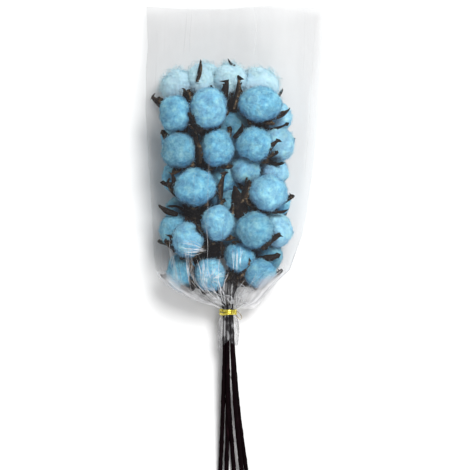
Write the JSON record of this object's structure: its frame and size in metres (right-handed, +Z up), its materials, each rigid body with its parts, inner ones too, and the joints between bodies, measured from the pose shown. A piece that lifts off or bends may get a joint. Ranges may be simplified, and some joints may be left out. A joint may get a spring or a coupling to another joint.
{
  "type": "cotton stem bunch",
  "caption": "Tied bunch of cut cotton stems with dyed blue bolls, lying on its back in a clear tapered sleeve closed at the neck by a twist tie.",
  "frame": {"origin": "centre of the bounding box's underside, on the surface that the bunch lies on", "axes": "+Y from the stems' cut ends to the sleeve's mouth, +Z up, +X to the right as seen from above with the mouth away from the viewer"},
  "size_m": [0.182, 0.488, 0.085],
  "materials": {
    "cotton": "fluffy, matte, dyed light blue",
    "bark": "rough dark purple-brown bark, burrs tan inside",
    "film": "clear crinkled film",
    "foil": "shiny gold foil"
  },
  "bodies": {
    "root": {"cotton_01": "cotton", "cotton_02": "cotton", "cotton_03": "cotton", "cotton_04": "cotton", "cotton_05": "cotton", "cotton_06": "cotton", "cotton_07": "cotton", "cotton_08": "cotton", "cotton_09": "cotton", "cotton_10": "cotton", "cotton_11": "cotton", "cotton_12": "cotton", "cotton_13": "cotton", "cotton_14": "cotton", "cotton_15": "cotton", "cotton_16": "cotton", "cotton_17": "cotton", "cotton_18": "cotton", "cotton_19": "cotton", "cotton_20": "cotton", "cotton_21": "cotton", "cotton_22": "cotton", "cotton_23": "cotton", "cotton_24": "cotton", "cotton_25": "cotton", "cotton_26": "cotton", "cotton_27": "cotton", "cotton_28": "cotton", "cotton_29": "cotton", "cotton_30": "cotton", "cotton_31": "cotton", "cotton_32": "cotton", "cotton_33": "cotton", "cotton_34": "cotton", "cotton_35": "cotton", "cotton_36": "cotton", "cotton_37": "cotton", "cotton_38": "cotton", "cotton_39": "cotton", "stem_1": "bark", "stem_2": "bark", "stem_3": "bark", "stem_4": "bark", "stem_5": "bark", "sleeve": "film", "twist_tie": "foil"}
  },
  "joints": []
}
